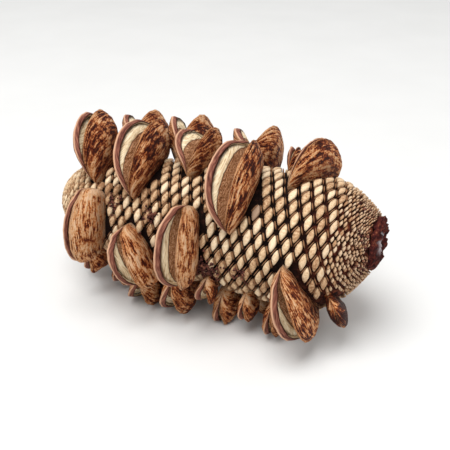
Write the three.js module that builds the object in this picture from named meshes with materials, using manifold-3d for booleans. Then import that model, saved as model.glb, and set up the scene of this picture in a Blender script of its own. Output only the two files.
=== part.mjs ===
// A dried banksia cone lying on its side, in millimetres, +Z up, resting on Z = 0.
//
// A woody spike lies along X, its round tip at -X and its broken stalk end at +X. Its skin is a net of raised
// rhombic scales that shrink towards both ends. Seed follicles stand out of it, each set across the spike: two thick
// half-pods, split open like a mouth round a thin D-shaped separator, on one root that sits in a socket of the spike.

import * as THREE from "three";
import { mergeVertices } from "three/addons/utils/BufferGeometryUtils.js";
import Module from "manifold-3d";

const wasm = await Module();
wasm.setup();

const degrees = Math.PI / 180;
const axisHeight = 29.6; // of the spike's axis above the surface that the cone lies on
const clearance = 0.3; // between a sunk root and its socket
const wholeSpace = 400; // size of the block that trims what would reach below the surface

// The spike's outline as [place along the axis, radius], from the tip to the stalk end.
const spikeProfile = [
  [-61, 0],
  [-60, 4],
  [-58, 7.5],
  [-54, 11],
  [-48, 14],
  [-38, 17],
  [-24, 18.6],
  [0, 20],
  [20, 21.4],
  [31, 21.3],
  [37, 20.3],
  [42, 17.3],
  [46, 13.6],
  [50, 9.2],
];
const stalkRise = { from: 32, height: 3.6 }; // the stalk end bends up past this place

const scales = {
  around: 14, // scales in one turn of the spike
  rowShare: 0.52, // distance between rows against the distance between columns
  relief: 1.1, // from a scale's peak to the furrow beside it
  fullRadius: 14, // where the spike is thinner, the relief is less
  twist: -0.11, // turn of the rows, so that the scales run in spirals
  firstRadius: 5, // of the first row, next to the bald tip
};

const stalk = { neckRadius: 6.2, neckDepth: 6, headRadius: 8.3, headLength: 3, sides: 14, roughness: 0.9, seed: 11 };

// One follicle's shape. Its height and width shrink from the middle to both pointed ends.
const pod = {
  halfWidth: 0.33, // of the height
  sections: 6, // from one pointed end to the other
  sectionSwing: 1.4, // sets the sections closer together at the ends
  endFullness: 0.07,
  bulge: 2.5, // how long the pod stays full before it narrows
  heightNarrowing: 0.56,
  widthNarrowing: 0.8,
  rootDepth: 3.2,
  rootWidth: 0.55, // of the half width
  // The outside of a half-pod over its root, as shares of the height and of the half width.
  outside: [
    [0.1, 0.92],
    [0.52, 1],
    [0.85, 0.5],
    [1, 0],
  ],
  rimFace: 2.3, // width of the flat face along which the halves were joined
  rimFaceShare: 0.3, // of the height, where the pod is low
  hollowDrop: 1.5, // from the rim to the deepest place behind its face, in widths of that face
  hollowDepth: 0.46, // of the half width
};

// The half towards the spike's tip is thinner, and its rim face turns up and reaches over the mouth.
const halves = {
  tip: { thickness: 0.6, rimDrop: 0.6, rimReach: 0.75 },
  stalk: { thickness: 1, rimDrop: 1, rimReach: 0 },
};
const mostReach = 0.45; // of the mouth's width

const separator = {
  thickness: 1.1,
  leastThickness: 0.3, // share left at the pointed ends
  taper: 0.7, // of its thickness at the top
  lean: 0.75, // of the lean of the half on the tip side
  foot: 0.12, // height of its foot, of the pod's height
  below: 0.6, // from the bottom of the rim face to its top
  least: 0.06, // height at the pointed ends
};

const socket = { clearances: 2, footClearances: 3, opening: 3 };

// Each follicle: place along the axis, degrees round it from the top towards -Y, length over the spike's skin,
// height above it, lean of the tip-side and of the stalk-side half in degrees, and skew, how much further along the
// axis the end at the lesser angle sits.
const follicles = [
  // Top and upper front.
  [-44.8, 2, 21, 17.5, 7, 11, -6],
  [-36.6, -47, 19, 19.5, 25, 10, 0],
  [-26, 13, 26, 15.5, 22, 12, -1],
  [-20.3, -48, 20, 19, 25, 10, 0],
  [-9, -4, 17, 13, 32, 16, 2],
  [10, 31, 27, 15.5, 24, 12, 0],
  [5, -46, 21, 17, 34, 17, 0],
  [20, -24, 10, 7.5, 10, 6, 0],
  [28, -12, 23, 11.5, 4, 7, 9],
  // Lower front.
  [-39.4, 89, 23, 14.5, 1, 8, 1],
  [-21.4, 107, 19, 13, 15, 16, -9],
  [-4.2, 87, 25, 14.5, 17, 13, 0],
  [32, 118, 24, 13.4, 12, 14, -9],
  // Underside, seen from the front.
  [-42, 144, 9, 9, 12, 8, 0],
  [-36, 174, 13, 12, 12, 10, 0],
  [-24, 161, 16, 13.8, 22, 14, 0],
  [-10.5, 151, 18, 12.7, 20, 12, 0],
  [2, 129, 9, 7.6, 22, 16, 0],
  [5, 160, 13, 12.4, 10, 8, 0],
  [14.5, 145, 12, 8.4, 10, 8, 0],
  [23, 152, 14, 10.8, 10, 8, 0],
  [40.5, 147, 17, 9.6, 6, 7, 0],
  // Back and underside, hidden from the front.
  [-47, 188, 18, 13, 22, 12, 0],
  [-47.5, 266, 20, 15, 22, 12, 0],
  [-34.5, 250, 19, 15, 20, 10, 0],
  [-26, 208, 14, 12.5, 16, 10, 0],
  [-18, 246, 20, 15, 20, 12, 0],
  [-12, 199, 14, 13.4, 16, 12, 0],
  [-2, 262, 20, 15, 22, 12, 0],
  [2, 210, 17, 12.5, 18, 12, 0],
  [14.5, 240, 20, 14.5, 18, 12, 0],
  [14, 187, 15, 10.6, 14, 12, 0],
  [21, 287, 19, 14, 20, 12, 0],
  [32, 235, 18, 13, 18, 12, 0],
  [28.5, 189, 16, 10.4, 14, 12, 0],
];

const finishes = {
  spike: new THREE.MeshStandardMaterial({ color: 0xcbb58c, roughness: 0.9, metalness: 0 }),
  pod: new THREE.MeshStandardMaterial({ color: 0x9a5a33, roughness: 0.75, metalness: 0 }),
  stalk: new THREE.MeshStandardMaterial({ color: 0x4a2420, roughness: 0.9, metalness: 0 }),
};

// Seeded random numbers from -1 to 1.
function seededRandom(seed) {
  let state = seed;
  return () => {
    state = (Math.imul(state, 1664525) + 1013904223) >>> 0;
    return state / 2147483648 - 1;
  };
}

// The outline in small steps. turn grows by each step's length against the radius there, so rows set at equal
// turns keep the scales' shape while the spike narrows.
function walkOutline(steps) {
  const outline = new THREE.SplineCurve(spikeProfile.map(([x, r]) => new THREE.Vector2(x, r)));
  const walk = [];
  let turn = 0;
  let last = outline.getPoint(0);
  for (let i = 1; i <= steps; i++) {
    const point = outline.getPoint(i / steps);
    turn += point.distanceTo(last) / ((point.y + last.y) / 2);
    walk.push({ x: point.x, r: point.y, turn });
    last = point;
  }
  return walk;
}
const outlineWalk = walkOutline(2000);

// The outline's place, radius and slope where key, x or turn, has a value.
function skinAt(key, value) {
  const after = outlineWalk.findIndex((step, i) => i > 0 && step[key] >= value);
  const i = after < 0 ? outlineWalk.length - 1 : after;
  const [a, b] = [outlineWalk[i - 1], outlineWalk[i]];
  const share = (value - a[key]) / (b[key] - a[key]);
  return {
    x: THREE.MathUtils.lerp(a.x, b.x, share),
    r: THREE.MathUtils.lerp(a.r, b.r, share),
    slope: Math.atan2(b.r - a.r, b.x - a.x),
  };
}

// A point at a place along the axis, a radius from it and an angle round it from the top towards -Y.
function aroundAxis(x, radius, angle) {
  const bent = Math.max(0, (x - stalkRise.from) / (spikeProfile.at(-1)[0] - stalkRise.from));
  const rise = stalkRise.height * bent * bent;
  return new THREE.Vector3(x, -radius * Math.sin(angle), axisHeight + rise + radius * Math.cos(angle));
}

function solidOf(points, faces) {
  const geometry = new THREE.BufferGeometry().setFromPoints(points);
  geometry.setIndex(faces.flat());
  const merged = mergeVertices(geometry, 1e-4);
  const vertProperties = merged.attributes.position.array;
  return new wasm.Manifold(new wasm.Mesh({ numProp: 3, vertProperties, triVerts: merged.index.array }));
}

function meshOf(name, solid, material) {
  const { numProp, numVert, vertProperties, triVerts } = solid.getMesh();
  const position = new Float32Array(numVert * 3);
  for (let i = 0; i < numVert; i++) {
    position.set(vertProperties.subarray(i * numProp, i * numProp + 3), i * 3);
  }
  const geometry = new THREE.BufferGeometry();
  geometry.setAttribute("position", new THREE.BufferAttribute(position, 3));
  geometry.setIndex(new THREE.BufferAttribute(triVerts, 1));
  geometry.computeVertexNormals();
  const mesh = new THREE.Mesh(geometry, material);
  mesh.name = name;
  return mesh;
}

// A closed skin over rings with the same number of points. Each end is closed over its own flat outline.
function loft(rings, endOutlines) {
  const around = rings[0].length;
  const faces = [];
  for (let s = 0; s + 1 < rings.length; s++) {
    for (let i = 0; i < around; i++) {
      const a = s * around + i;
      const b = s * around + ((i + 1) % around);
      faces.push([a, b, b + around], [a, b + around, a + around]);
    }
  }
  const last = (rings.length - 1) * around;
  for (const [a, b, c] of THREE.ShapeUtils.triangulateShape(endOutlines[0], [])) faces.push([c, b, a]);
  for (const [a, b, c] of THREE.ShapeUtils.triangulateShape(endOutlines[1], [])) {
    faces.push([last + a, last + b, last + c]);
  }
  return solidOf(rings.flat(), faces);
}

// The spike's skin: a grid whose points stand out and lie back by turns, so that each raised point is one scale.
function scalySpike() {
  const columns = scales.around * 2;
  const first = outlineWalk.find((step) => step.r >= scales.firstRadius).turn;
  const last = outlineWalk.at(-1).turn;
  const rows = Math.round((last - first) / ((scales.rowShare * 2 * Math.PI) / columns));
  const points = [];
  for (let row = 0; row <= rows; row++) {
    const turn = THREE.MathUtils.lerp(first, last, row / rows);
    const { x, r } = skinAt("turn", turn);
    const relief = (scales.relief / 2) * Math.min(1, r / scales.fullRadius);
    for (let column = 0; column < columns; column++) {
      const height = (row + column) % 2 === 0 ? relief : -relief;
      points.push(aroundAxis(x, r + height, (column / columns) * 2 * Math.PI + scales.twist * turn));
    }
  }
  const tip = points.push(aroundAxis(spikeProfile[0][0], 0, 0)) - 1;
  const base = points.push(aroundAxis(spikeProfile.at(-1)[0], 0, 0)) - 1;
  const at = (row, column) => row * columns + (column % columns);
  const faces = [];
  for (let column = 0; column < columns; column++) {
    for (let row = 0; row < rows; row++) {
      const [a, b] = [at(row, column), at(row, column + 1)];
      const [c, d] = [at(row + 1, column), at(row + 1, column + 1)];
      if ((row + column) % 2 === 0) faces.push([a, b, d], [a, d, c]);
      else faces.push([a, b, c], [b, d, c]);
    }
    faces.push([tip, at(0, column + 1), at(0, column)], [base, at(rows, column), at(rows, column + 1)]);
  }
  return solidOf(points, faces);
}

// A round of points about the axis, each a little off its radius and place.
function roughRing(x, radius, roughness, random) {
  const ring = [];
  for (let i = 0; i < stalk.sides; i++) {
    const angle = (i / stalk.sides) * 2 * Math.PI;
    ring.push(aroundAxis(x + roughness * random(), radius + roughness * random(), angle));
  }
  return ring;
}

// The flat outline of such a round, for closing its ends.
function circle() {
  return new THREE.Path().absarc(0, 0, 1, 0, 2 * Math.PI).getSpacedPoints(stalk.sides).slice(0, -1);
}

// The broken stalk: a neck sunk in the spike's end and a rough head a little wider than it.
function brokenStalk() {
  const random = seededRandom(stalk.seed);
  const end = spikeProfile.at(-1)[0];
  const { headRadius, neckRadius, neckDepth, headLength, roughness } = stalk;
  const rings = [
    roughRing(end - neckDepth, neckRadius, 0, random),
    roughRing(end + clearance, neckRadius, 0, random),
    roughRing(end + clearance, headRadius, 0, random),
    roughRing(end + headLength * 0.6, headRadius, roughness * 0.5, random),
    roughRing(end + headLength, headRadius * 0.62, roughness, random),
    roughRing(end + headLength * 0.75, headRadius * 0.25, roughness * 0.5, random),
  ];
  return loft(rings, [circle(), circle()]);
}

// The socket's cutter runs from just under the neck to well past the spike's end.
function stalkSocket() {
  const end = spikeProfile.at(-1)[0];
  const radius = stalk.neckRadius + clearance * 2;
  const rings = [
    roughRing(end - stalk.neckDepth - clearance, radius, 0, () => 0),
    roughRing(end, radius, 0, () => 0),
    roughRing(end + clearance * 2, radius, 0, () => 0),
  ];
  return loft(rings, [circle(), circle()]);
}

// How full the pod is at a share of the way from its middle to either pointed end.
function fullness(share) {
  return Math.max(pod.endFullness, (1 - Math.abs(share) ** pod.bulge) ** pod.heightNarrowing);
}

function halfWidthAt(follicle, full) {
  return follicle.height * pod.halfWidth * full ** pod.widthNarrowing;
}

// Shares from -1 to 1 at which the sections stand.
function sectionShares() {
  return [...Array(pod.sections).keys()].map((i) => {
    const step = (i / (pod.sections - 1)) * 2 - 1;
    return Math.sin(step * pod.sectionSwing) / Math.sin(pod.sectionSwing);
  });
}

// One half-pod in section, as [across, out] points: from its root up the outside, over the rim and down inside.
function halfSection(follicle, full, lean, half) {
  const rim = follicle.height * full;
  const width = halfWidthAt(follicle, full) * half.thickness;
  const face = Math.min(pod.rimFace, rim * pod.rimFaceShare);
  const mouth = rim * (Math.sin(follicle.leanTip * degrees) + Math.sin(follicle.leanStalk * degrees));
  const reach = Math.min(face * half.rimReach, mouth * mostReach);
  const [sin, cos] = [Math.sin(lean * degrees), Math.cos(lean * degrees)];
  const leaning = (up, across) => [up * sin + across * cos, up * cos - across * sin];
  return [
    [width * pod.rootWidth, -pod.rootDepth],
    ...pod.outside.map(([up, across]) => leaning(rim * up, width * across)),
    leaning(rim - face * half.rimDrop, -reach),
    leaning(rim - face * pod.hollowDrop, width * pod.hollowDepth),
  ];
}

// The separator in section, from its foot on the stalk side to its foot on the tip side.
function separatorSection(follicle, full) {
  const thickness = (separator.thickness / 2) * Math.max(separator.leastThickness, full);
  const height = follicle.height * full;
  const foot = height * separator.foot;
  const top = Math.max(height - pod.rimFace * pod.hollowDrop * full - separator.below, foot + separator.least);
  const across = -top * Math.tan(follicle.leanTip * separator.lean * degrees);
  return [
    [thickness, foot],
    [across + thickness * separator.taper, top],
    [across - thickness * separator.taper, top],
    [-thickness, foot],
  ];
}

function follicleSection(follicle, share) {
  const full = fullness(share);
  const stalkSide = halfSection(follicle, full, follicle.leanStalk, halves.stalk);
  const tipSide = halfSection(follicle, full, follicle.leanTip, halves.tip).map(([across, out]) => [-across, out]);
  return [...stalkSide, ...separatorSection(follicle, full), ...tipSide.reverse()];
}

// The socket's cutter in section: the root, grown by the clearance, and the pod's foot where it leaves the skin.
function socketSection(follicle, share) {
  const width = halfWidthAt(follicle, fullness(share));
  const root = width * pod.rootWidth + clearance * socket.clearances;
  const foot = width + clearance * socket.footClearances;
  const bottom = -pod.rootDepth - clearance;
  return [
    [root, bottom],
    [foot, 0],
    [foot, socket.opening],
    [-foot, socket.opening],
    [-foot, 0],
    [-root, bottom],
  ];
}

// Sets sections across the spike's axis, one after the other round it, with a length a little over the follicle's
// where spare is given.
function onSpike(follicle, section, spare) {
  const { along, around, length, skew } = follicle;
  const { r, slope } = skinAt("x", along);
  const shares = sectionShares();
  const flat = shares.map((share) => section(follicle, share));
  const rings = flat.map((points, i) => {
    const angle = around * degrees + (shares[i] * (length / 2 + spare)) / r;
    const shift = along - (shares[i] * skew) / 2;
    return points.map(([across, out]) =>
      aroundAxis(
        shift + across * Math.cos(slope) - out * Math.sin(slope),
        r + across * Math.sin(slope) + out * Math.cos(slope),
        angle,
      ),
    );
  });
  const ends = [flat[0], flat.at(-1)].map((points) => points.map(([across, out]) => new THREE.Vector2(across, out)));
  return loft(rings, ends);
}

function aboveSurface() {
  return wasm.Manifold.cube([wholeSpace, wholeSpace, wholeSpace], true).translate([0, 0, wholeSpace / 2]);
}

// Moves the cone so that the origin is under the middle of its box.
function centreOverOrigin(group) {
  const middle = new THREE.Box3().setFromObject(group).getCenter(new THREE.Vector3());
  group.position.set(-middle.x, -middle.y, 0);
}

const cone = new THREE.Group();
const above = aboveSurface();
let spike = scalySpike().subtract(stalkSocket());
follicles.forEach(([along, around, length, height, leanTip, leanStalk, skew], i) => {
  const follicle = { along, around, length, height, leanTip, leanStalk, skew };
  spike = spike.subtract(onSpike(follicle, socketSection, clearance * socket.clearances));
  const name = "follicle_" + String(i + 1).padStart(2, "0");
  cone.add(meshOf(name, onSpike(follicle, follicleSection, 0).intersect(above), finishes.pod));
});
cone.add(meshOf("spike", spike, finishes.spike));
cone.add(meshOf("stalk_stub", brokenStalk(), finishes.stalk));
centreOverOrigin(cone);

export default cone;
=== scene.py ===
import bisect
import math
import random

import bmesh
import bpy
from mathutils import Matrix, Vector, noise


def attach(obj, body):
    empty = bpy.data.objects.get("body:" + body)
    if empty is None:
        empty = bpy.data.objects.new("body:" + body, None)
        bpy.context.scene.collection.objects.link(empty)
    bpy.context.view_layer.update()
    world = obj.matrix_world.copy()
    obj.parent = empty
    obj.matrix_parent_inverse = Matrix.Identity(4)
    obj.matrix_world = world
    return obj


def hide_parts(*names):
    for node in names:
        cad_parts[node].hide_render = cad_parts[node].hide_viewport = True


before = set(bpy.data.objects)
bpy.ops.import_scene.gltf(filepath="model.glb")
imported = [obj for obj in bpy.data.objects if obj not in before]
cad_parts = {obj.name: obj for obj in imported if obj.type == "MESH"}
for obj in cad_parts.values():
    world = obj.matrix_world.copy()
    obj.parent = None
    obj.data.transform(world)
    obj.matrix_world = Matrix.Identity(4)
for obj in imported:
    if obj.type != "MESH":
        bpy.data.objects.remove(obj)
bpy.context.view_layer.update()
print("frame loaded")

# The spike, with the same outline and bend as the part's source.
spike = dict(
    axisHeight=29.6,
    profile=[
        (-61, 0), (-60, 4), (-58, 7.5), (-54, 11), (-48, 14), (-38, 17), (-24, 18.6),
        (0, 20), (20, 21.4), (31, 21.3), (37, 20.3), (42, 17.3), (46, 13.6), (50, 9.2),
    ],
    outlineSteps=2000,
    bendFrom=32,
    bendHeight=3.6,
    furrowDepth=1.15,  # of the skin between the scales, whose near-black colour is its own dark colour and painted shade in the furrows
    fullRadius=10,  # where the spike is thinner, the relief is less
    sides=96,
    rings=110,
    roughness=0.28,
)

tipPoint = min(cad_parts["spike"].data.vertices, key=lambda vert: vert.co.x).co
millimetre = 0.001
rowPlace = Vector((tipPoint.x - spike["profile"][0][0] * millimetre, tipPoint.y, 0))
toRowFrame = Matrix.Translation(rowPlace) @ Matrix.Scale(millimetre, 4)


def outlinePoint(share):
    # A uniform Catmull-Rom curve through the profile.
    points = [Vector(point) for point in spike["profile"]]
    place = share * (len(points) - 1)
    i = min(int(place), len(points) - 2)
    t = place - i
    before, a, b, after = points[max(i - 1, 0)], points[i], points[i + 1], points[min(i + 2, len(points) - 1)]
    leave, arrive = (b - before) / 2, (after - a) / 2
    cubic = a * 2 - b * 2 + leave + arrive
    square = b * 3 - a * 3 - leave * 2 - arrive
    return cubic * t**3 + square * t**2 + leave * t + a


def walkOutline(steps):
    # turn grows by each step's length against the radius there, so a net set at equal turns keeps its shape.
    walk = dict(x=[], r=[], turn=[])
    turn = 0
    last = outlinePoint(0)
    for step in range(1, steps + 1):
        point = outlinePoint(step / steps)
        turn += (point - last).length / ((point.y + last.y) / 2)
        walk["x"].append(point.x)
        walk["r"].append(point.y)
        walk["turn"].append(turn)
        last = point
    return walk


outline = walkOutline(spike["outlineSteps"])


def skinAt(key, value):
    # Place, radius, slope and turn where key, x or turn, has a value.
    i = min(max(bisect.bisect_left(outline[key], value), 1), len(outline[key]) - 1)
    low, high = outline[key][i - 1], outline[key][i]
    share = (value - low) / (high - low)
    step = {name: outline[name][i] - outline[name][i - 1] for name in outline}
    here = {name: outline[name][i - 1] + step[name] * share for name in outline}
    return here["x"], here["r"], math.atan2(step["r"], step["x"]), here["turn"]


def aroundAxis(x, radius, angle):
    bent = max(0, (x - spike["bendFrom"]) / (spike["profile"][-1][0] - spike["bendFrom"]))
    height = spike["axisHeight"] + spike["bendHeight"] * bent * bent + radius * math.cos(angle)
    return Vector((x, -radius * math.sin(angle), height))


def onSkin(turn, angle, height):
    x, r, slope, _ = skinAt("turn", turn)
    return aroundAxis(x - height * math.sin(slope), r + height * math.cos(slope), angle)


def finishPiece(bm, name, materials, replaced=None):
    bmesh.ops.transform(bm, matrix=toRowFrame, verts=bm.verts)
    mesh = bpy.data.meshes.new(name)
    bm.to_mesh(mesh)
    bm.free()
    mesh.shade_smooth()
    for material in materials:
        mesh.materials.append(material)
    piece = bpy.data.objects.new(name, mesh)
    bpy.context.scene.collection.objects.link(piece)
    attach(piece, "root")
    if replaced:
        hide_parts(replaced)


# Materials. Object coordinates are read in millimetres.
def paint(red, green, blue):
    # A colour as seen on screen, 0 to 255, as the linear colour that the shader takes.
    return (*((c / 255 / 12.92 if c < 10.3 else ((c / 255 + 0.055) / 1.055) ** 2.4) for c in (red, green, blue)), 1)


def addNode(tree, kind, inputs=None, **settings):
    made = tree.nodes.new(kind)
    for key, value in settings.items():
        setattr(made, key, value)
    for key, value in (inputs or {}).items():
        if isinstance(value, bpy.types.NodeSocket):
            tree.links.new(value, made.inputs[key])
        else:
            made.inputs[key].default_value = value
    return made


def addMath(tree, operation, first, second):
    return addNode(tree, "ShaderNodeMath", {0: first, 1: second}, operation=operation).outputs[0]


def addSum(tree, first, second):
    return addMath(tree, "ADD", first, second)


def addScaled(tree, value, factor):
    return addMath(tree, "MULTIPLY", value, factor)


def addRamp(tree, factor, stops):
    made = addNode(tree, "ShaderNodeValToRGB", {"Fac": factor})
    elements = made.color_ramp.elements
    for place, colour in stops[1:-1]:
        elements.new(place).color = colour
    for element, (place, colour) in ((elements[0], stops[0]), (elements[-1], stops[-1])):
        element.position = place
        element.color = colour
    return made.outputs["Color"]


def addMix(tree, factor, first, second):
    made = tree.nodes.new("ShaderNodeMix")
    made.data_type = "RGBA"
    for key, value in ((0, factor), (6, first), (7, second)):
        if isinstance(value, bpy.types.NodeSocket):
            tree.links.new(value, made.inputs[key])
        else:
            made.inputs[key].default_value = value
    return made.outputs[2]


def addBetween(tree, value, low, high):
    # 0 below low, 1 above high and smooth in between.
    return addNode(
        tree, "ShaderNodeMapRange", {"Value": value, "From Min": low, "From Max": high}, interpolation_type="SMOOTHSTEP"
    ).outputs["Result"]


def addFading(tree, value, low, high):
    # 1 below low, 0 above high and smooth in between.
    return addMath(tree, "SUBTRACT", 1.0, addBetween(tree, value, low, high))


def addAttribute(tree, name):
    return addNode(tree, "ShaderNodeAttribute", attribute_name=name).outputs["Fac"]


def addNoise(tree, vector, scale, detail=4.0, rough=0.6):
    return addNode(
        tree, "ShaderNodeTexNoise", {"Vector": vector, "Scale": scale, "Detail": detail, "Roughness": rough}
    ).outputs["Fac"]


def millimetresOf(tree):
    place = addNode(tree, "ShaderNodeTexCoord").outputs["Object"]
    return addNode(tree, "ShaderNodeMapping", {"Vector": place, "Scale": (1000, 1000, 1000)}).outputs["Vector"]


def newMaterial(name, roughness):
    material = bpy.data.materials.new(name)
    material.use_nodes = True
    shader = material.node_tree.nodes["Principled BSDF"]
    shader.inputs["Roughness"].default_value = roughness
    shader.inputs["Specular IOR Level"].default_value = 0.12
    return material, material.node_tree, shader


def setBump(tree, shader, height, strength, distance):
    bump = addNode(tree, "ShaderNodeBump", {"Height": height, "Strength": strength, "Distance": distance * millimetre})
    tree.links.new(bump.outputs["Normal"], shader.inputs["Normal"])


fibreForm = dict(seedStep=60, detail=5, stretch=dict(Patches=0.3, Streaks=0.12))  # stretch is across against along


def makeFibreGroup():
    # Streaks that run lengthwise on a pod, from the attributes that its mesh carries.
    group = bpy.data.node_groups.new("woodFibre", "ShaderNodeTree")
    for name in ("Patch size", "Streak size"):
        group.interface.new_socket(name, in_out="INPUT", socket_type="NodeSocketFloat")
    for name in ("Patches", "Streaks"):
        group.interface.new_socket(name, in_out="OUTPUT", socket_type="NodeSocketFloat")
    source = group.nodes.new("NodeGroupInput")
    result = group.nodes.new("NodeGroupOutput")
    lengthwise = addAttribute(group, "lengthwise")
    crosswise = addAttribute(group, "crosswise")
    seed = addScaled(group, addAttribute(group, "seed"), fibreForm["seedStep"])
    for name, size in (("Patches", "Patch size"), ("Streaks", "Streak size")):
        along = addScaled(group, lengthwise, fibreForm["stretch"][name])
        place = addNode(group, "ShaderNodeCombineXYZ", {"X": along, "Y": crosswise, "Z": seed}).outputs["Vector"]
        scale = addMath(group, "DIVIDE", 1.0, source.outputs[size])
        group.links.new(addNoise(group, place, scale, fibreForm["detail"]), result.inputs[name])
    return group


fibre = makeFibreGroup()


def addFibre(tree, patchSize, streakSize):
    made = addNode(tree, "ShaderNodeGroup", node_tree=fibre)
    made.inputs["Patch size"].default_value = patchSize
    made.inputs["Streak size"].default_value = streakSize
    return made.outputs["Patches"], made.outputs["Streaks"]


podColours = dict(
    black=paint(46, 14, 6),
    maroon=paint(76, 24, 10),
    redBrown=paint(130, 60, 28),
    orange=paint(184, 112, 62),
    tan=paint(212, 158, 108),
    pale=paint(222, 182, 146),
    grey=paint(86, 58, 44),
    # edge is the colour of the painted highlight just below the rim.
    edge=paint(204, 140, 90),
    rim=paint(116, 68, 54),
    rimDark=paint(64, 28, 22),
    rimPale=paint(152, 102, 82),
    rimHighlight=paint(222, 176, 142),
    cream=paint(236, 212, 172),
    creamDark=paint(196, 158, 118),
    creamLight=paint(248, 230, 196),
    plate=paint(172, 124, 88),
)


def makePodSkin():
    material, tree, shader = newMaterial("pod_skin", 0.6)
    patches, streaks = addFibre(tree, 1.0, 0.4)
    inward = addAttribute(tree, "inward")
    endward = addAttribute(tree, "endward")
    tone = addAttribute(tree, "tone")
    zone = addNoise(tree, millimetresOf(tree), 0.16, 2)
    speck = addNoise(tree, millimetresOf(tree), 1.5, 4, 0.7)
    mixed = addSum(tree, addScaled(tree, patches, 0.4), addScaled(tree, streaks, 0.35))
    mixed = addSum(tree, mixed, addScaled(tree, speck, 0.25))
    mixed = addSum(tree, mixed, addScaled(tree, addMath(tree, "SUBTRACT", zone, 0.5), 0.22))
    mixed = addSum(tree, mixed, tone)
    # Painted highlight: the skin is pushed paler towards the rim and towards the pod's ends.
    edge = addMath(tree, "MAXIMUM", addBetween(tree, inward, 0.78, 1.0), addBetween(tree, endward, 0.66, 0.95))
    mixed = addSum(tree, mixed, addScaled(tree, edge, 0.045))
    colour = addRamp(
        tree,
        mixed,
        [
            (0.425, podColours["black"]),
            (0.462, podColours["maroon"]),
            (0.492, podColours["redBrown"]),
            (0.516, podColours["orange"]),
            (0.55, podColours["tan"]),
            (0.6, podColours["pale"]),
        ],
    )
    low = addFading(tree, inward, 0.1, 0.6)
    low = addScaled(tree, low, addBetween(tree, patches, 0.36, 0.6))
    colour = addMix(tree, addScaled(tree, low, 0.6), colour, podColours["grey"])
    # Painted highlight: a jagged orange-tan line along the outside just below the rim.
    edgeHighlight = addScaled(tree, addBetween(tree, inward, 0.88, 0.96), addBetween(tree, speck, 0.38, 0.5))
    colour = addMix(tree, addScaled(tree, edgeHighlight, 0.75), colour, podColours["edge"])
    tree.links.new(colour, shader.inputs["Base Color"])
    setBump(tree, shader, mixed, 1.0, 1.6)
    return material


def makePodRim():
    material, tree, shader = newMaterial("pod_rim", 0.7)
    _, streaks = addFibre(tree, 1.6, 0.4)
    inward = addAttribute(tree, "inward")
    stops = [(0.36, podColours["rimDark"]), (0.5, podColours["rim"]), (0.66, podColours["rimPale"])]
    colour = addRamp(tree, streaks, stops)
    # Painted highlight: a pale line along the rim's outer edge.
    outerHighlight = addFading(tree, inward, 1.1, 1.4)
    colour = addMix(tree, addScaled(tree, outerHighlight, 0.8), colour, podColours["rimHighlight"])
    # Painted shade: the rim's face goes black towards its inner edge, where it drops into the gap.
    rimGapShade = addScaled(tree, addBetween(tree, inward, 1.8, 1.98), 0.9)
    colour = addMix(tree, rimGapShade, colour, podColours["black"])
    tree.links.new(colour, shader.inputs["Base Color"])
    setBump(tree, shader, streaks, 0.6, 0.5)
    return material


def makePodLining():
    material, tree, shader = newMaterial("pod_lining", 0.75)
    _, streaks = addFibre(tree, 2.2, 0.4)
    inward = addAttribute(tree, "inward")
    stops = [(0.34, podColours["creamDark"]), (0.5, podColours["cream"]), (0.66, podColours["creamLight"])]
    colour = addRamp(tree, streaks, stops)
    # Painted shade: the lining turns dark brown deep in the hollow.
    hollowShade = addBetween(tree, inward, 2.68, 2.95)
    colour = addMix(tree, hollowShade, colour, paint(64, 36, 24))
    # Painted shade: black just under the rim's inner edge, in the gap.
    gapShade = addFading(tree, inward, 2.0, 2.12)
    colour = addMix(tree, gapShade, colour, podColours["black"])
    tree.links.new(colour, shader.inputs["Base Color"])
    setBump(tree, shader, streaks, 0.5, 0.4)
    return material


def makePodPlate():
    material, tree, shader = newMaterial("pod_plate", 0.7)
    _, streaks = addFibre(tree, 1.1, 0.35)
    inward = addAttribute(tree, "inward")
    endward = addAttribute(tree, "endward")
    speck = addNoise(tree, millimetresOf(tree), 2.2, 4, 0.75)
    mixed = addSum(tree, addScaled(tree, speck, 0.6), addScaled(tree, streaks, 0.4))
    colour = addRamp(
        tree,
        mixed,
        [
            (0.42, paint(96, 54, 30)),
            (0.47, paint(150, 104, 72)),
            (0.52, podColours["plate"]),
            (0.6, paint(222, 178, 142)),
        ],
    )
    # The crescent next to the rim is pale and narrows towards the pod's ends.
    narrowing = addScaled(tree, addScaled(tree, endward, endward), 0.2)
    place = addMath(tree, "SUBTRACT", inward, narrowing)
    stops = [(0.36, paint(186, 150, 112)), (0.48, podColours["cream"]), (0.62, paint(255, 240, 210))]
    pale = addRamp(tree, streaks, stops)
    colour = addMix(tree, addBetween(tree, place, 3.74, 3.76), colour, paint(92, 56, 36))
    colour = addMix(tree, addBetween(tree, place, 3.76, 3.79), colour, pale)
    # Painted shade: the separator's top, in the gap under the rim's edge, is darkened.
    gapShade = addBetween(tree, inward, 3.92, 3.99)
    colour = addMix(tree, addScaled(tree, gapShade, 0.8), colour, podColours["rimDark"])
    # Painted shade: the separator's foot, deep inside the pod, is darkened.
    foot = addFading(tree, inward, 3.0, 3.25)
    colour = addMix(tree, addScaled(tree, foot, 0.8), colour, paint(60, 30, 18))
    tree.links.new(colour, shader.inputs["Base Color"])
    setBump(tree, shader, mixed, 0.8, 0.6)
    return material


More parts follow.
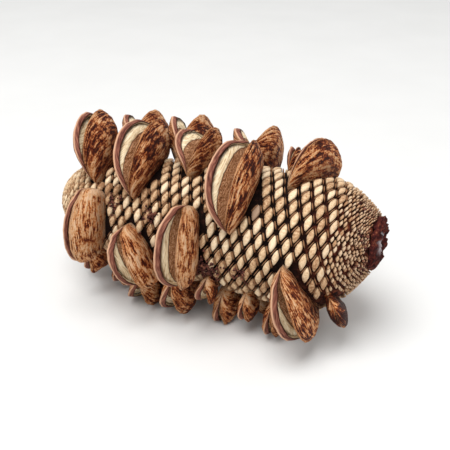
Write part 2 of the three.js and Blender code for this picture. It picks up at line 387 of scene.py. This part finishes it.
def makeScaleMaterial():
    material, tree, shader = newMaterial("scale_skin", 0.66)
    place = millimetresOf(tree)
    speck = addNoise(tree, place, 1.3, 4, 0.7)
    tone = addAttribute(tree, "tone")
    middle = addAttribute(tree, "middle")
    mixed = addSum(tree, addScaled(tree, speck, 0.7), addScaled(tree, tone, 0.3))
    colour = addRamp(
        tree,
        mixed,
        [
            (0.3, paint(140, 100, 68)),
            (0.4, paint(188, 152, 116)),
            (0.52, paint(214, 185, 148)),
            (0.68, paint(236, 214, 182)),
        ],
    )
    # Each scale darkens towards its edge and down its skirt: its dark outline together with painted shade where it
    # drops into the furrows.
    outlineAndShade = addFading(tree, middle, 0.05, 0.5)
    colour = addMix(tree, addScaled(tree, outlineAndShade, 0.9), colour, paint(84, 50, 30))
    red = addBetween(tree, tone, 1.2, 2.0)
    colour = addMix(tree, addScaled(tree, red, 0.8), colour, paint(104, 52, 32))
    x = addNode(tree, "ShaderNodeSeparateXYZ", {"Vector": place}).outputs["X"]
    stalkward = addScaled(tree, addBetween(tree, x, 36.0, 52.0), 0.55)
    colour = addMix(tree, stalkward, colour, paint(146, 98, 66))
    sliver = addBetween(tree, addMath(tree, "SUBTRACT", 0.0, tone), 0.2, 0.8)
    colour = addMix(tree, sliver, colour, paint(138, 100, 72))
    tree.links.new(colour, shader.inputs["Base Color"])
    setBump(tree, shader, speck, 0.5, 0.4)
    return material


def makeFurrowMaterial():
    material, tree, shader = newMaterial("furrow_skin", 0.85)
    place = millimetresOf(tree)
    patch = addNoise(tree, place, 0.5, 5, 0.65)
    # Near-black: the skin's own dark colour, darkened further as painted shade in the furrows; redder towards the
    # stalk.
    colour = addRamp(
        tree, patch, [(0.35, paint(10, 3, 2)), (0.55, paint(24, 10, 6)), (0.7, paint(58, 28, 18))]
    )
    x = addNode(tree, "ShaderNodeSeparateXYZ", {"Vector": place}).outputs["X"]
    stalkward = addBetween(tree, x, 30.0, 48.0)
    red = addRamp(tree, patch, [(0.36, paint(26, 8, 6)), (0.5, paint(70, 28, 18)), (0.62, paint(120, 62, 40))])
    colour = addMix(tree, stalkward, colour, red)
    tree.links.new(colour, shader.inputs["Base Color"])
    setBump(tree, shader, addNoise(tree, place, 2.2, 5), 0.9, 0.6)
    return material


def makeStalkMaterial():
    material, tree, shader = newMaterial("stalk_wood", 0.8)
    place = millimetresOf(tree)
    patch = addNoise(tree, place, 0.7, 6, 0.7)
    colour = addRamp(
        tree,
        patch,
        [(0.36, paint(22, 10, 10)), (0.48, paint(66, 24, 22)), (0.58, paint(96, 40, 32)), (0.7, paint(150, 92, 62))],
    )
    # A whitish spot with an uneven edge on the broken face.
    spot = toRowFrame @ aroundAxis(spike["profile"][-1][0] + 2, 3, math.radians(72)) / millimetre
    away = addNode(tree, "ShaderNodeVectorMath", {0: place, 1: spot}, operation="DISTANCE").outputs["Value"]
    near = addFading(tree, addSum(tree, away, addScaled(tree, patch, 3.0)), 3.4, 5.4)
    colour = addMix(tree, addScaled(tree, near, 0.8), colour, paint(214, 204, 206))
    tree.links.new(colour, shader.inputs["Base Color"])
    setBump(tree, shader, addNoise(tree, place, 1.6, 6, 0.7), 1.0, 0.8)
    return material


def makeCrumbMaterial():
    material, tree, shader = newMaterial("crumb_fibre", 0.9)
    patch = addNoise(tree, millimetresOf(tree), 0.9, 4)
    colour = addRamp(
        tree, patch, [(0.36, paint(44, 24, 22)), (0.52, paint(88, 50, 44)), (0.68, paint(140, 92, 70))]
    )
    tree.links.new(colour, shader.inputs["Base Color"])
    return material


podMaterials = [makePodSkin(), makePodRim(), makePodLining(), makePodPlate()]
scaleMaterial = makeScaleMaterial()
furrowMaterial = makeFurrowMaterial()
stalkMaterial = makeStalkMaterial()
crumbMaterial = makeCrumbMaterial()
print("materials made")


# The skin under the scales, near-black: its own dark colour and painted shade in the furrows.
def makeCore():
    bm = bmesh.new()
    chain = []
    for ring in range(spike["rings"] + 1):
        point = outlinePoint(ring / spike["rings"])
        depth = spike["furrowDepth"] * min(1, point.y / spike["fullRadius"])
        chain.append(bm.verts.new((point.x + (0.4 if ring == 0 else 0), max(point.y - depth, 0), 0)))
    edges = [bm.edges.new(pair) for pair in zip(chain, chain[1:])]
    bmesh.ops.spin(
        bm, geom=chain + edges, axis=(1, 0, 0), cent=(0, 0, 0), angle=math.tau, steps=spike["sides"], use_merge=True
    )
    bmesh.ops.remove_doubles(bm, verts=bm.verts, dist=1e-4)
    bmesh.ops.holes_fill(bm, edges=[edge for edge in bm.edges if edge.is_boundary])
    for vert in bm.verts:
        radius = math.hypot(vert.co.y, vert.co.z)
        radius += spike["roughness"] * noise.noise(vert.co * 0.6) * min(1, radius / 6)
        vert.co = aroundAxis(vert.co.x, radius, math.atan2(-vert.co.y, vert.co.z))
    bmesh.ops.recalc_face_normals(bm, faces=bm.faces)
    finishPiece(bm, "spike_skin", [furrowMaterial], "spike")


makeCore()
print("spike skin made")


# Each pod: place along the axis, degrees round it from the top towards -Y, length over the skin, height above it,
# lean of the tip-side and of the stalk-side half in degrees, and skew.
pods = [
    (-44.8, 2, 21, 17.5, 7, 11, -6), (-36.6, -47, 19, 19.5, 25, 10, 0), (-26, 13, 26, 15.5, 22, 12, -1),
    (-20.3, -48, 20, 19, 25, 10, 0), (-9, -4, 17, 13, 32, 16, 2), (10, 31, 27, 15.5, 24, 12, 0),
    (5, -46, 21, 17, 34, 17, 0), (20, -24, 10, 7.5, 10, 6, 0), (28, -12, 23, 11.5, 4, 7, 9),
    (-39.4, 89, 23, 14.5, 1, 8, 1), (-21.4, 107, 19, 13, 15, 16, -9), (-4.2, 87, 25, 14.5, 17, 13, 0),
    (32, 118, 24, 13.4, 12, 14, -9), (-42, 144, 9, 9, 12, 8, 0), (-36, 174, 13, 12, 12, 10, 0),
    (-24, 161, 16, 13.8, 22, 14, 0), (-10.5, 151, 18, 12.7, 20, 12, 0), (2, 129, 9, 7.6, 22, 16, 0),
    (5, 160, 13, 12.4, 10, 8, 0), (14.5, 145, 12, 8.4, 10, 8, 0), (23, 152, 14, 10.8, 10, 8, 0),
    (40.5, 147, 17, 9.6, 6, 7, 0), (-47, 188, 18, 13, 22, 12, 0), (-47.5, 266, 20, 15, 22, 12, 0),
    (-34.5, 250, 19, 15, 20, 10, 0), (-26, 208, 14, 12.5, 16, 10, 0), (-18, 246, 20, 15, 20, 12, 0),
    (-12, 199, 14, 13.4, 16, 12, 0), (-2, 262, 20, 15, 22, 12, 0), (2, 210, 17, 12.5, 18, 12, 0),
    (14.5, 240, 20, 14.5, 18, 12, 0), (14, 187, 15, 10.6, 14, 12, 0), (21, 287, 19, 14, 20, 12, 0),
    (32, 235, 18, 13, 18, 12, 0), (28.5, 189, 16, 10.4, 14, 12, 0),
]

podForm = dict(
    halfWidth=0.33,  # of the height
    endFullness=0.07,
    upperEnd=(2.6, 0.55),  # how the pod narrows to its two ends, the lower of them a long beak
    lowerEnd=(2.0, 0.7),
    widthNarrowing=1.15,
    horn=0.09,  # a shoulder near the upper end
    hornPlace=0.83,
    hornLength=0.08,
    closing=5,  # the mouth closes towards the ends, and later with a higher power
    rootDepth=3.2,
    rootWidth=0.55,
    outside=[(0.1, 0.92), (0.52, 1), (0.85, 0.52), (0.96, 0.2), (1, 0.02)],  # shares of the height and the half width
    rimFace=2.3,  # width of the flat face along which the halves were joined
    rimFaceShare=0.3,
    halves=dict(
        tip=dict(thickness=0.6, drop=0.6, reach=0.75, hollow=1.5),
        stalk=dict(thickness=0.84, drop=0.9, reach=0.1, hollow=1.5),
    ),
    mostReach=0.45,  # of the mouth's width
    hollowDepth=0.34,
    plateGap=0.12,  # between the rim's face and the separator, in widths of that face
    plateLean=0.78,  # of the lean of the half on the tip side
    plateThickness=0.6,
    sections=46,
    skinPoints=12,
    facePoints=4,
    hollowPoints=5,
    platePoints=6,
    wrinkle=0.3,
    lump=0.4,
    ragged=0.22,  # of the rim's edge
    teeth=14,  # how close the small ones and the waves of that edge are along a pod
    waves=2.4,
    sectionSwing=1.4,  # sets the sections closer together at the ends
    tones={22: -0.075, 18: -0.01, 11: 0.02, 12: 0.02, 10: 0.05, 1: -0.015, 3: -0.015, 6: -0.012},  # by pod number
    openings={22: 0.1, 9: 0.5},  # share of the leans, by pod number
    seed=5,
)


def fullness(share):
    bulge, narrowing = podForm["lowerEnd" if share > 0 else "upperEnd"]
    horn = podForm["horn"] * math.exp(-(((share + podForm["hornPlace"]) / podForm["hornLength"]) ** 2))
    return max(podForm["endFullness"], (1 - abs(share) ** bulge) ** narrowing + horn)


def alongCurve(points, count):
    # count steps along a smooth curve through the points, without its last point.
    places = [Vector(point) for point in points]
    result = []
    for step in range(count):
        place = step / count * (len(places) - 1)
        i = int(place)
        t = place - i
        a, b = places[i], places[i + 1]
        leave = (b - places[i - 1]) / 2 if i else b - a
        arrive = (places[i + 2] - a) / 2 if i + 2 < len(places) else b - a
        result.append(
            (a * 2 - b * 2 + leave + arrive) * t**3 + (b * 3 - a * 3 - leave * 2 - arrive) * t**2 + leave * t + a
        )
    return result


def leaned(lean):
    # Turns a point that is up and across a half-pod into the section's own across and out.
    sin, cos = math.sin(lean), math.cos(lean)
    return lambda up, across: Vector((up * sin + across * cos, up * cos - across * sin))


def halfSection(pod, full, mouth, side, foot):
    # One half-pod as (across, out, inward) from its root up the outside, over the rim and down inside to its foot.
    half = podForm["halves"][side]
    lean = pod[side] * mouth
    rim = pod["height"] * full
    width = pod["halfWidth"] * half["thickness"] * full ** podForm["widthNarrowing"]
    face = min(podForm["rimFace"], rim * podForm["rimFaceShare"])
    opening = rim * (math.sin(pod["tip"] * mouth) + math.sin(pod["stalk"] * mouth))
    reach = min(face * half["reach"], opening * podForm["mostReach"])
    hollow = width * podForm["hollowDepth"]
    at = leaned(lean)
    skin = [Vector((width * podForm["rootWidth"], -podForm["rootDepth"]))]
    skin += [at(rim * up, width * across) for up, across in podForm["outside"]]
    edge = at(rim - face * half["drop"], -reach)
    flat = [skin[-1], at(rim - face * half["drop"] * 0.35, -reach * 0.5), edge]
    under = at(rim - face * (half["drop"] + 0.25), hollow * 0.5 - reach * 0.5)
    inside = [edge, under, at(rim - face * half["hollow"], hollow), at(rim * 0.35, hollow * 0.8), foot]
    result = []
    for zone, (points, count) in enumerate(
        ((skin, podForm["skinPoints"]), (flat, podForm["facePoints"]), (inside, podForm["hollowPoints"]))
    ):
        for step, point in enumerate(alongCurve(points, count)):
            result.append((point.x, point.y, zone + step / count))
    return result


def crosswiseOf(inward, height):
    # Millimetres along a full section, so that the streaks follow the pod's outline.
    spans = (1.1 * height, podForm["rimFace"], 0.8 * height, 0.9 * height)
    return sum(span * min(max(inward - zone, 0), 1) for zone, span in enumerate(spans))


def podSection(pod, share):
    full = fullness(share)
    mouth = (1 - abs(share) ** podForm["closing"]) * pod["open"]
    height = pod["height"] * full
    thickness = podForm["plateThickness"] * full ** podForm["widthNarrowing"]
    foot = height * 0.12
    below = podForm["rimFace"] * full * (podForm["halves"]["tip"]["drop"] + podForm["plateGap"])
    top = max(height - below, foot + 0.1)
    at = leaned(-pod["tip"] * mouth * podForm["plateLean"])
    near, far = Vector((thickness, foot)), Vector((-thickness, foot))
    front = [near, at(top * 0.33, thickness * 1.5), at(top * 0.64, thickness * 1.4), at(top, 0)]
    back = [at(top, 0), at(top * 0.66, -thickness * 0.5), far]
    count = podForm["platePoints"]
    plate = [(point.x, point.y, 3 + step / count) for step, point in enumerate(alongCurve(front, count))]
    plate += [(point.x, point.y, 4 - step / count) for step, point in enumerate(alongCurve(back, count))]
    tipSide = halfSection(pod, full, mouth, "tip", near)
    mirrored = [(-thickness, foot, 3)] + [(-across, out, inward) for across, out, inward in reversed(tipSide)]
    return halfSection(pod, full, mouth, "stalk", near) + plate + mirrored


def sectionShares():
    swing = podForm["sectionSwing"]
    count = podForm["sections"]
    return [math.sin((i / (count - 1) * 2 - 1) * swing) / math.sin(swing) for i in range(count)]


def raggedness(share, inward, seed):
    teeth = noise.noise(Vector((share * podForm["teeth"], seed * 50, inward * 0.7)))
    waves = noise.noise(Vector((share * podForm["waves"], seed * 90, 4)))
    return 1.4 * teeth + 2 * waves


def makePod(number, numbers, chance):
    along, around, length, height, leanTip, leanStalk, skew = numbers
    pod = dict(height=height, halfWidth=height * podForm["halfWidth"], open=podForm["openings"].get(number, 1))
    pod["tip"], pod["stalk"] = math.radians(leanTip), math.radians(leanStalk)
    _, r, slope, _ = skinAt("x", along)
    shares = sectionShares()
    sections = [podSection(pod, share) for share in shares]
    columns = len(sections[0])
    zoneOf = [min(int(min(a[2], b[2]) + 1e-6), 3) for a, b in zip(sections[0], sections[0][1:] + sections[0][:1])]
    seed = chance.random()
    bm = bmesh.new()
    names = ("inward", "lengthwise", "crosswise", "endward", "seed", "tone")
    layers = {name: bm.verts.layers.float.new(name) for name in names}
    bmesh.ops.create_grid(bm, x_segments=columns, y_segments=len(shares) - 1, size=1)
    for face in bm.faces:
        gap = int((face.calc_center_median().x + 1) / 2 * columns)
        face.material_index = 0 if gap == columns - 1 else zoneOf[gap]
    for vert in bm.verts:
        column = round((vert.co.x + 1) / 2 * columns) % columns
        row = round((vert.co.y + 1) / 2 * (len(shares) - 1))
        share = shares[row]
        across, out, inward = sections[row][column]
        out += podForm["ragged"] * raggedness(share, inward, seed) * min(1, inward) * (1 - abs(share) ** 4)
        angle = math.radians(around) + share * length / 2 / r
        shift = along - share * skew / 2
        vert.co = aroundAxis(
            shift + across * math.cos(slope) - out * math.sin(slope),
            r + across * math.sin(slope) + out * math.cos(slope),
            angle,
        )
        vert[layers["inward"]] = inward
        vert[layers["lengthwise"]] = share * length / 2 * (1 + max(out, 0) / r)
        vert[layers["crosswise"]] = crosswiseOf(inward, height) * (0.5 + fullness(share) / 2)
        vert[layers["endward"]] = abs(share)
        vert[layers["seed"]] = seed
        vert[layers["tone"]] = podForm["tones"].get(number, 0)
    bmesh.ops.remove_doubles(bm, verts=bm.verts, dist=1e-4)
    bmesh.ops.holes_fill(bm, edges=[edge for edge in bm.edges if edge.is_boundary])
    bmesh.ops.recalc_face_normals(bm, faces=bm.faces)
    roughenPod(bm, layers, seed)
    if min(vert.co.z for vert in bm.verts) < 0:
        bmesh.ops.bisect_plane(
            bm, geom=bm.verts[:] + bm.edges[:] + bm.faces[:], plane_co=(0, 0, 0), plane_no=(0, 0, -1), clear_outer=True
        )
        bmesh.ops.holes_fill(bm, edges=[edge for edge in bm.edges if edge.is_boundary])
    finishPiece(bm, f"pod_{number:02d}", podMaterials, f"follicle_{number:02d}")


def roughenPod(bm, layers, seed):
    # Wrinkles that run lengthwise and slower lumps, on the outside more than inside.
    bm.normal_update()
    moves = []
    for vert in bm.verts:
        inward = vert[layers["inward"]]
        amount = 1 if 0.05 < inward < 0.95 else 0.35
        fade = 1 - vert[layers["endward"]] ** 6
        place = Vector((vert[layers["lengthwise"]] * 0.16, vert[layers["crosswise"]] * 0.9, seed * 70))
        wrinkle = noise.noise(place) * podForm["wrinkle"]
        lump = noise.noise(vert.co * 0.16 + Vector((seed * 30, 0, 0))) * podForm["lump"]
        moves.append((vert, vert.normal * (wrinkle + lump) * amount * fade))
    for vert, move in moves:
        vert.co += move


podChance = random.Random(podForm["seed"])
for index, numbers in enumerate(pods):
    makePod(index + 1, numbers, podChance)
print("pods made")


# The net of scales.
net = dict(
    columns=33,
    rowStep=0.195,  # in turns, between neighbours along the spike
    rowsPerRound=12,  # how many rows the net climbs in one round
    firstTurnRadius=1.4,
    scaleSize=0.68,  # of its cell
    sliverPlace=0.75,
    sliverWidth=0.1,
    sliverLength=0.58,
    missing=0.06,  # of the small bits
    redShare=0.012,
    redTint=1.8,
    redderFrom=41,  # the scales turn redder from this place, over the length of redderOver
    redderOver=5,
    cushion=dict(roundCorner=1.9, sharpCorner=7, fall=0.6),  # a scale, pointed at two opposite corners
    height=0.55,
    skirt=-1.3,
    smallFrom=40.5,  # past this place the scales are small bits
    podMargin=0.35,
    jitter=0.04,
    scaleJitter=0.2,  # share of the jitter for a whole scale and for a small bit
    bitJitter=0.5,
    seed=21,
)


def turnOfRadius(radius):
    return next(turn for r, turn in zip(outline["r"], outline["turn"]) if r >= radius)


def underPod(x, angle, margin):
    for along, around, length, height, _, _, skew in pods:
        _, r, _, _ = skinAt("x", along)
        away = (angle - math.radians(around) + math.pi) % math.tau - math.pi
        share = away * r / (length / 2)
        if abs(share) < 1:
            width = height * podForm["halfWidth"] * fullness(share) ** podForm["widthNarrowing"]
            if abs(x - along + share * skew / 2) < width * 0.92 + margin:
                return True
    return False


def scaleForm():
    # A cushion over the square from 0 to 1: a 4 by 4 top with a skirt that goes down all round.
    cushion = net["cushion"]
    bm = bmesh.new()
    bmesh.ops.create_grid(bm, x_segments=4, y_segments=4, size=1)
    rim = [edge for edge in bm.edges if edge.is_boundary]
    made = bmesh.ops.extrude_edge_only(bm, edges=rim)["geom"]
    skirt = {element for element in made if isinstance(element, bmesh.types.BMVert)}
    for vert in bm.verts:
        x, y = vert.co.x, vert.co.y
        power = cushion["roundCorner" if x * y < 0 else "sharpCorner"]
        reach = (abs(x) ** power + abs(y) ** power) ** (1 / power)
        if reach > 0:
            corner = max(abs(x), abs(y)) / reach
            x, y = x * corner, y * corner
        height = 1 - cushion["fall"] * (max(abs(x), abs(y)) ** 4) if vert not in skirt else -1
        vert.co = Vector((0.5 + x / 2, 0.5 + y / 2, height))
    bmesh.ops.holes_fill(bm, edges=[edge for edge in bm.edges if edge.is_boundary])
    bmesh.ops.recalc_face_normals(bm, faces=bm.faces)
    mesh = bpy.data.meshes.new("scale_form")
    bm.to_mesh(mesh)
    bm.free()
    return mesh


def sliverForm():
    # A thin ridge over the square from 0 to 1, long along the second side.
    bm = bmesh.new()
    bmesh.ops.create_cube(bm, size=1)
    long = [edge for edge in bm.edges if abs((edge.verts[0].co - edge.verts[1].co).y) > 0.5]
    bmesh.ops.subdivide_edges(bm, edges=long, cuts=2)
    for vert in bm.verts:
        x, y = vert.co.x + 0.5, vert.co.y + 0.5
        pinch = 0.3 if y in (0, 1) else 1
        height = (0.75 if 0 < y < 1 else 0.3) if vert.co.z > 0 else -1
        vert.co = Vector((0.5 + (x - 0.5) * pinch * (0.7 if vert.co.z > 0 else 1), y, height))
    bmesh.ops.recalc_face_normals(bm, faces=bm.faces)
    mesh = bpy.data.meshes.new("sliver_form")
    bm.to_mesh(mesh)
    bm.free()
    return mesh


def makeScales():
    chance = random.Random(net["seed"])
    bm = bmesh.new()
    tone = bm.verts.layers.float.new("tone")
    middle = bm.verts.layers.float.new("middle")
    scale, sliver = scaleForm(), sliverForm()
    perRound = net["rowsPerRound"] * net["rowStep"] / net["columns"]
    column = math.tau / net["columns"]
    sides = (Vector((net["rowStep"] - perRound, -column)), Vector((-perRound, -column)))
    first, last = turnOfRadius(net["firstTurnRadius"]), outline["turn"][-1]

    def place(form, corner, size, turnedRound, height, tint):
        # Sets a form on a parallelogram of the net that starts at corner, size along both sides.
        before = len(bm.verts)
        bm.from_mesh(form)
        bm.verts.ensure_lookup_table()
        for vert in bm.verts[before:]:
            a, b, up = vert.co
            a, b = a * size[0], b * size[1]
            if turnedRound:
                a, b = b, a
            spot = corner + sides[0] * a + sides[1] * b
            x, r, slope, _ = skinAt("turn", spot.x)
            relief = min(1, r / spike["fullRadius"])
            lift = (up * height if up > 0 else net["skirt"]) * relief
            vert[middle] = max(up, 0)
            vert[tone] = tint
            vert.co = aroundAxis(x - lift * math.sin(slope), r + lift * math.cos(slope), spot.y)

    for j in range(net["columns"]):
        for i in range(3 * net["columns"]):
            cell = Vector((first + net["rowStep"] * i - perRound * j, -column * j))
            centre = cell + (sides[0] + sides[1]) * net["scaleSize"] / 2
            if not first < centre.x < last - 0.02:
                continue
            x, _, _, _ = skinAt("turn", centre.x)
            if underPod(x, centre.y, net["podMargin"]):
                continue
            parts = [(0.0, 0.0, 1.0)]
            if x > net["smallFrom"]:
                parts = [(p, q, 0.5) for p in (0.0, 0.5) for q in (0.0, 0.5)]
            for p, q, share in parts:
                if share < 1 and chance.random() < net["missing"]:
                    continue
                jitter = net["jitter"] * net["scaleJitter" if share == 1 else "bitJitter"]
                shake = Vector((chance.uniform(-1, 1), chance.uniform(-1, 1))) * jitter
                corner = cell + sides[0] * p + sides[1] * q + shake
                tint = chance.random() + max(0, (x - net["redderFrom"]) / net["redderOver"]) * chance.random()
                if chance.random() < net["redShare"]:
                    tint = net["redTint"]
                size = net["scaleSize"] * share * chance.uniform(0.94 if share == 1 else 0.74, 1.06)
                both = (size, size * chance.uniform(0.95, 1.05))
                place(scale, corner, both, False, net["height"] * chance.uniform(0.8, 1.15), tint)
                if share < 1:
                    continue
                for turnedRound in (False, True):
                    start = corner + sides[1 if turnedRound else 0] * net["sliverPlace"]
                    both = (net["sliverWidth"], net["sliverLength"])
                    place(sliver, start, both, turnedRound, net["height"] * 0.5, -1 if turnedRound else -0.5)
    for form in (scale, sliver):
        bpy.data.meshes.remove(form)
    finishPiece(bm, "scales", [scaleMaterial])


makeScales()
print("scales made")


# The broken stalk.
stalk = dict(
    neckRadius=6.2,
    neckDepth=6,
    headRadius=8.3,
    headLength=3,
    head=[(0.1, 1), (0.6, 1), (1, 0.62), (0.75, 0.25), (0.7, 0)],  # shares of the head's length and radius
    tornFrom=0.2,  # past the spike's end
    roughness=0.9,
    sides=64,
)


def makeStalk():
    end = spike["profile"][-1][0]
    bm = bmesh.new()
    head = [(end + stalk["headLength"] * along, stalk["headRadius"] * out) for along, out in stalk["head"]]
    root = end - stalk["neckDepth"]
    outlinePoints = [(root, 0), (root, stalk["neckRadius"]), (head[0][0], stalk["neckRadius"])] + head
    chain = [bm.verts.new((x, radius, 0)) for x, radius in outlinePoints]
    edges = [bm.edges.new(pair) for pair in zip(chain, chain[1:])]
    bmesh.ops.subdivide_edges(bm, edges=edges, cuts=4)
    bmesh.ops.spin(
        bm, geom=bm.verts[:] + bm.edges[:], axis=(1, 0, 0), cent=(0, 0, 0), angle=math.tau, steps=stalk["sides"],
        use_merge=True,
    )
    bmesh.ops.remove_doubles(bm, verts=bm.verts, dist=1e-4)
    for vert in bm.verts:
        x = vert.co.x
        radius = math.hypot(vert.co.y, vert.co.z)
        angle = math.atan2(-vert.co.y, vert.co.z)
        if x > end + stalk["tornFrom"]:
            rough = noise.fractal(vert.co * 0.55, 0.8, 2.1, 4)
            x += rough * stalk["roughness"] - 0.2
            radius += noise.noise(vert.co * 0.4 + Vector((9, 0, 0))) * stalk["roughness"]
        vert.co = aroundAxis(x, radius, angle)
    bmesh.ops.recalc_face_normals(bm, faces=bm.faces)
    finishPiece(bm, "broken_stalk", [stalkMaterial], "stalk_stub")


makeStalk()
print("stalk made")


# Crumbs of torn fibre that lie between the pods.
crumbs = dict(
    seed=8,
    least=0.2,
    most=0.55,
    # Each heap: place along the axis, degrees round it, spread in millimetres and how many crumbs.
    heaps=[
        (1, 108, 2.4, 260), (-18.5, 66, 1.3, 60), (-33, 62, 1.6, 40), (13, 104, 1.6, 36), (-24, 84, 1.4, 30),
        (-12, 70, 1.2, 24), (3, 16, 1.6, 26), (48.5, 60, 1.6, 30), (48.5, 110, 1.6, 24), (48, 10, 1.4, 20),
    ],
    sunk=-0.4,
    raised=1.0,
)


def makeCrumbs():
    chance = random.Random(crumbs["seed"])
    bm = bmesh.new()
    for x, around, spread, count in crumbs["heaps"]:
        for _ in range(count):
            radius = chance.uniform(crumbs["least"], crumbs["most"])
            made = bmesh.ops.create_icosphere(bm, subdivisions=1, radius=radius)
            at = min(x + chance.gauss(0, spread), spike["profile"][-1][0] - 0.5)
            _, r, _, _ = skinAt("x", at)
            height = chance.uniform(crumbs["sunk"], crumbs["raised"])
            spot = aroundAxis(at, r + height, math.radians(around) + chance.gauss(0, spread) / r)
            for vert in made["verts"]:
                vert.co = spot + vert.co * chance.uniform(0.6, 1.4)
    bmesh.ops.recalc_face_normals(bm, faces=bm.faces)
    finishPiece(bm, "crumbs", [crumbMaterial])


makeCrumbs()
print("crumbs made")


# Floor, light and camera.
studio = dict(
    azimuth=23,
    elevation=27,
    distance=270,
    focalPixels=815,
    width=450,
    sensor=36,
    target=(0, 0, 29.5),
    worldStrength=0.72,
    floorSize=4,
    lamps=[("key", (-0.05, -0.3, 0.9), 0.7, 8.5), ("side", (0.8, -0.6, 0.5), 0.5, 1.5)],  # place, size and power
    lampTarget=(0, 0, 0.03),
)


def makeFloor():
    bm = bmesh.new()
    bmesh.ops.create_grid(bm, x_segments=1, y_segments=1, size=studio["floorSize"])
    mesh = bpy.data.meshes.new("floor")
    bm.to_mesh(mesh)
    bm.free()
    material, tree, shader = newMaterial("floor_paper", 0.9)
    grain = addNoise(tree, millimetresOf(tree), 0.02, 2)
    colour = addRamp(tree, grain, [(0.3, (0.7, 0.7, 0.69, 1)), (0.7, (0.72, 0.72, 0.71, 1))])
    tree.links.new(colour, shader.inputs["Base Color"])
    mesh.materials.append(material)
    floor = bpy.data.objects.new("floor", mesh)
    bpy.context.scene.collection.objects.link(floor)


def aimed(thing, target):
    thing.rotation_mode = "QUATERNION"
    thing.rotation_quaternion = (Vector(target) - thing.location).to_track_quat("-Z", "Y")


def addLamp(name, place, size, power):
    lamp = bpy.data.lights.new(name, "AREA")
    lamp.shape = "DISK"
    lamp.size = size
    lamp.energy = power
    made = bpy.data.objects.new(name, lamp)
    made.location = place
    bpy.context.scene.collection.objects.link(made)
    aimed(made, studio["lampTarget"])


def makeStudio():
    scene = bpy.context.scene
    scene.view_settings.view_transform = "Standard"
    world = bpy.data.worlds.new("studio")
    world.use_nodes = True
    world.node_tree.nodes["Background"].inputs["Color"].default_value = (1, 1, 1, 1)
    world.node_tree.nodes["Background"].inputs["Strength"].default_value = studio["worldStrength"]
    scene.world = world
    for lamp in studio["lamps"]:
        addLamp(*lamp)
    azimuth, elevation = math.radians(studio["azimuth"]), math.radians(studio["elevation"])
    back = Vector(
        (math.sin(azimuth) * math.cos(elevation), -math.cos(azimuth) * math.cos(elevation), math.sin(elevation))
    )
    target = toRowFrame @ Vector(studio["target"])
    camera = bpy.data.cameras.new("camera")
    camera.sensor_width = studio["sensor"]
    camera.lens = studio["focalPixels"] / studio["width"] * camera.sensor_width
    eye = bpy.data.objects.new("camera", camera)
    eye.location = target + back * studio["distance"] * millimetre
    scene.collection.objects.link(eye)
    aimed(eye, target)
    scene.camera = eye


makeFloor()
makeStudio()
print("studio made")
